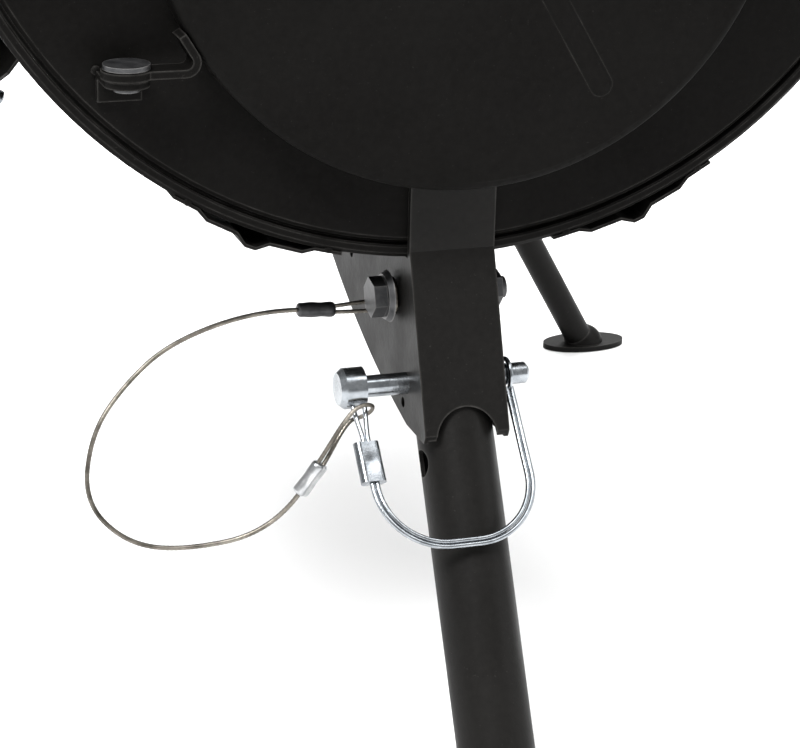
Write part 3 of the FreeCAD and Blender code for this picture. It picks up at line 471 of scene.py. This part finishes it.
# ------------------------------------------------------------------ crimped sleeves
def crimp_sleeve(name):
    """A strip of sheet folded round both wires of a bail, with its free edge standing proud."""
    low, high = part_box(f"crimp_sleeve_{name}")
    centre = (low + high) / 2
    joint = next(held for held in frame["joints"] if held["name"] == f"bail_swing_{name}")
    axis = Vector(joint["axis"]).normalized()
    arm = centre - Vector(joint["pos_m"])
    down = (arm - axis * arm.dot(axis)).normalized()
    half_length = 7.7 * MM
    half_width = 2.4
    fold = 2.05
    lip = 0.7
    lip_fade = 2.2
    seam = 2.5
    dent_depth = 0.16
    dent_reach = 0.34

    def outline(turn, distance):
        side = abs(math.cos(turn))
        rise = abs(math.sin(turn))
        if rise * half_width > fold * side:
            reach = fold / rise
        else:
            reach = half_width * side + math.sqrt(fold ** 2 - (half_width * rise) ** 2)
        wound = ((turn - seam) % (2 * math.pi)) / (2 * math.pi)
        dent = dent_depth * rise ** 2 * math.exp(-((distance / half_length - 1) / dent_reach) ** 2)
        return (reach * (1 - dent) + lip * max(0.0, 1 - lip_fade * wound)) * MM

    line = straight(centre - down * half_length, centre + down * half_length)
    piece = swept(f"crimped_sleeve_{name}", line, outline, "zinc_plate", 72, axis, smooth=False)
    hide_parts(f"crimp_sleeve_{name}")
    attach(piece, f"pin_{name}")


for unit in ("front", "rear_left", "rear_right"):
    crimp_sleeve(unit)


# ------------------------------------------------------------------ weld beads
def weld(centre, normal, radius, seed):
    """A lumpy, flattened bead of weld metal."""
    rng = random.Random(seed)
    normal = normal.normalized()
    across = normal.orthogonal().normalized()
    other = normal.cross(across)
    rings = 7
    sides = 18
    flatness = 0.62
    lumpiness = 0.16
    lump_scale = 2.2
    crown = 0.64
    offset = Vector((rng.uniform(-9, 9), rng.uniform(-9, 9), rng.uniform(-9, 9)))
    points = []
    for ring in range(rings):
        lift = math.pi / 2 * ring / rings
        for side in range(sides):
            turn = 2 * math.pi * side / sides
            way = (across * math.cos(turn) + other * math.sin(turn)) * math.cos(lift)
            way += normal * math.sin(lift) * flatness
            lump = 1 + lumpiness * noise.noise(way * lump_scale + offset)
            points.append(centre + way * radius * lump)
    points.append(centre + normal * radius * crown)
    faces = []
    for ring in range(rings - 1):
        for side in range(sides):
            following = (side + 1) % sides
            faces.append((ring * sides + side, ring * sides + following,
                          (ring + 1) * sides + following, (ring + 1) * sides + side))
    last = (rings - 1) * sides
    for side in range(sides):
        faces.append((last + side, last + (side + 1) % sides, len(points) - 1))
    faces.append(tuple(reversed(range(sides))))
    return points, faces


def welds(name, places, body):
    points = []
    faces = []
    for number, (centre, normal, radius) in enumerate(places):
        new_points, new_faces = weld(centre, normal, radius * MM, f"{name}{number}")
        first = len(points)
        points += new_points
        faces += [tuple(first + index for index in face) for face in new_faces]
    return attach(mesh_piece(name, points, faces, "black_coat"), body)


# Each rail is held by a bead under every flange, on the rim in front and on the shell behind.
SUNK_RIM = 187.3
SHELL_RADIUS = 183
RAIL_TURN = 22.3
FLANGE_TURN = 8.4
RIM_STATION = 1.2
RAIL_END = 156
FACE = Vector((0, -1, 0))
rail_places = []
for side in (-1, 1):
    for flange in (-FLANGE_TURN, FLANGE_TURN):
        turn = math.radians(side * RAIL_TURN + flange)
        outward = Vector((math.sin(turn), 0, -math.cos(turn)))
        at = drum(outward.x * SUNK_RIM, RIM_STATION, outward.z * SUNK_RIM)
        rail_places.append((at, FACE, 1.5))
        at = drum(outward.x * SHELL_RADIUS, RAIL_END, outward.z * SHELL_RADIUS)
        rail_places.append((at, (outward - FACE).normalized(), 2.2))
welds("skid_rail_welds", rail_places, "drum")

# Each hinge ear is held by a bead at both upper corners of its base.
EAR_HEIGHT = 10.5 * MM
EAR_BEAD = 1.7
ears_low, ears_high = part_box("door_hinge_ears")
ear_places = []
for ear_top in (ears_low.z + EAR_HEIGHT, ears_high.z):
    for ear_side in (ears_low.x, ears_high.x):
        corner = Vector((ear_side, drum(0, -0.4, 0).y, ear_top))
        ear_places.append((corner, FACE, EAR_BEAD))
welds("hinge_ear_welds", ear_places, "drum")


# ------------------------------------------------------------------ stage
def area_light(name, at, aim, width, height, power):
    lamp = bpy.data.lights.new(name, "AREA")
    lamp.shape = "RECTANGLE"
    lamp.size = width
    lamp.size_y = height
    lamp.energy = power
    holder = bpy.data.objects.new(name, lamp)
    holder.location = at
    holder.rotation_euler = (Vector(aim) - Vector(at)).to_track_quat("-Z", "Y").to_euler()
    bpy.context.scene.collection.objects.link(holder)


area_light("key", (-1.3, -1.3, 2.5), (0, -0.1, 0.3), 0.9, 0.9, 120)
area_light("overhead", (0.2, 0.1, 2.8), (0, 0, 0.3), 3.4, 3.4, 150)
area_light("fill", (2.2, -1.2, 1.2), (0, 0, 0.3), 1.4, 1.4, 14)
area_light("back", (0.8, 2.8, 2.6), (0.6, 1.6, 0), 3.0, 2.0, 130)

world = bpy.data.worlds.new("studio")
world.use_nodes = True
sky = world.node_tree.nodes["Background"]
sky.inputs["Color"].default_value = (1, 1, 1, 1)
sky.inputs["Strength"].default_value = 0.56
bpy.context.scene.world = world
bpy.context.scene.view_settings.view_transform = "Standard"

FLOOR_REACH = 14
mesh = bpy.data.meshes.new("floor")
corners = [(-FLOOR_REACH, -FLOOR_REACH, 0), (FLOOR_REACH, -FLOOR_REACH, 0),
           (FLOOR_REACH, FLOOR_REACH, 0), (-FLOOR_REACH, FLOOR_REACH, 0)]
mesh.from_pydata(corners, [], [(0, 1, 2, 3)])
floor = bpy.data.objects.new("floor", mesh)
bpy.context.scene.collection.objects.link(floor)
paper = Graph("floor_paper")
pale = [(0.3, (0.86, 0.86, 0.86)), (0.7, (0.88, 0.88, 0.88))]
paper.set(Base_Color=paper.ramp(paper.noise(3, 3), pale), Roughness=0.9)
mesh.materials.append(paper.material)

# ------------------------------------------------------------------ camera
# Turned to the right, down and over, in radians.
YAW = 0.32289
PITCH = 0.34990
ROLL = 0.024534
CAMERA_AT = drum(-287.25, -805.82, 79.39)
LENS = 112.5
SENSOR = 36
forward = Vector((math.sin(YAW) * math.cos(PITCH), math.cos(YAW) * math.cos(PITCH),
                  -math.sin(PITCH)))
right = Vector((math.cos(YAW), -math.sin(YAW), 0))
up = right.cross(forward)
rolled_right = right * math.cos(ROLL) + up * math.sin(ROLL)
rolled_up = up * math.cos(ROLL) - right * math.sin(ROLL)
camera_data = bpy.data.cameras.new("camera")
camera_data.lens = LENS
camera_data.sensor_width = SENSOR
camera = bpy.data.objects.new("camera", camera_data)
turn = Matrix((rolled_right, rolled_up, -forward)).transposed().to_4x4()
camera.matrix_world = Matrix.Translation(CAMERA_AT) @ turn
bpy.context.scene.collection.objects.link(camera)
bpy.context.scene.camera = camera
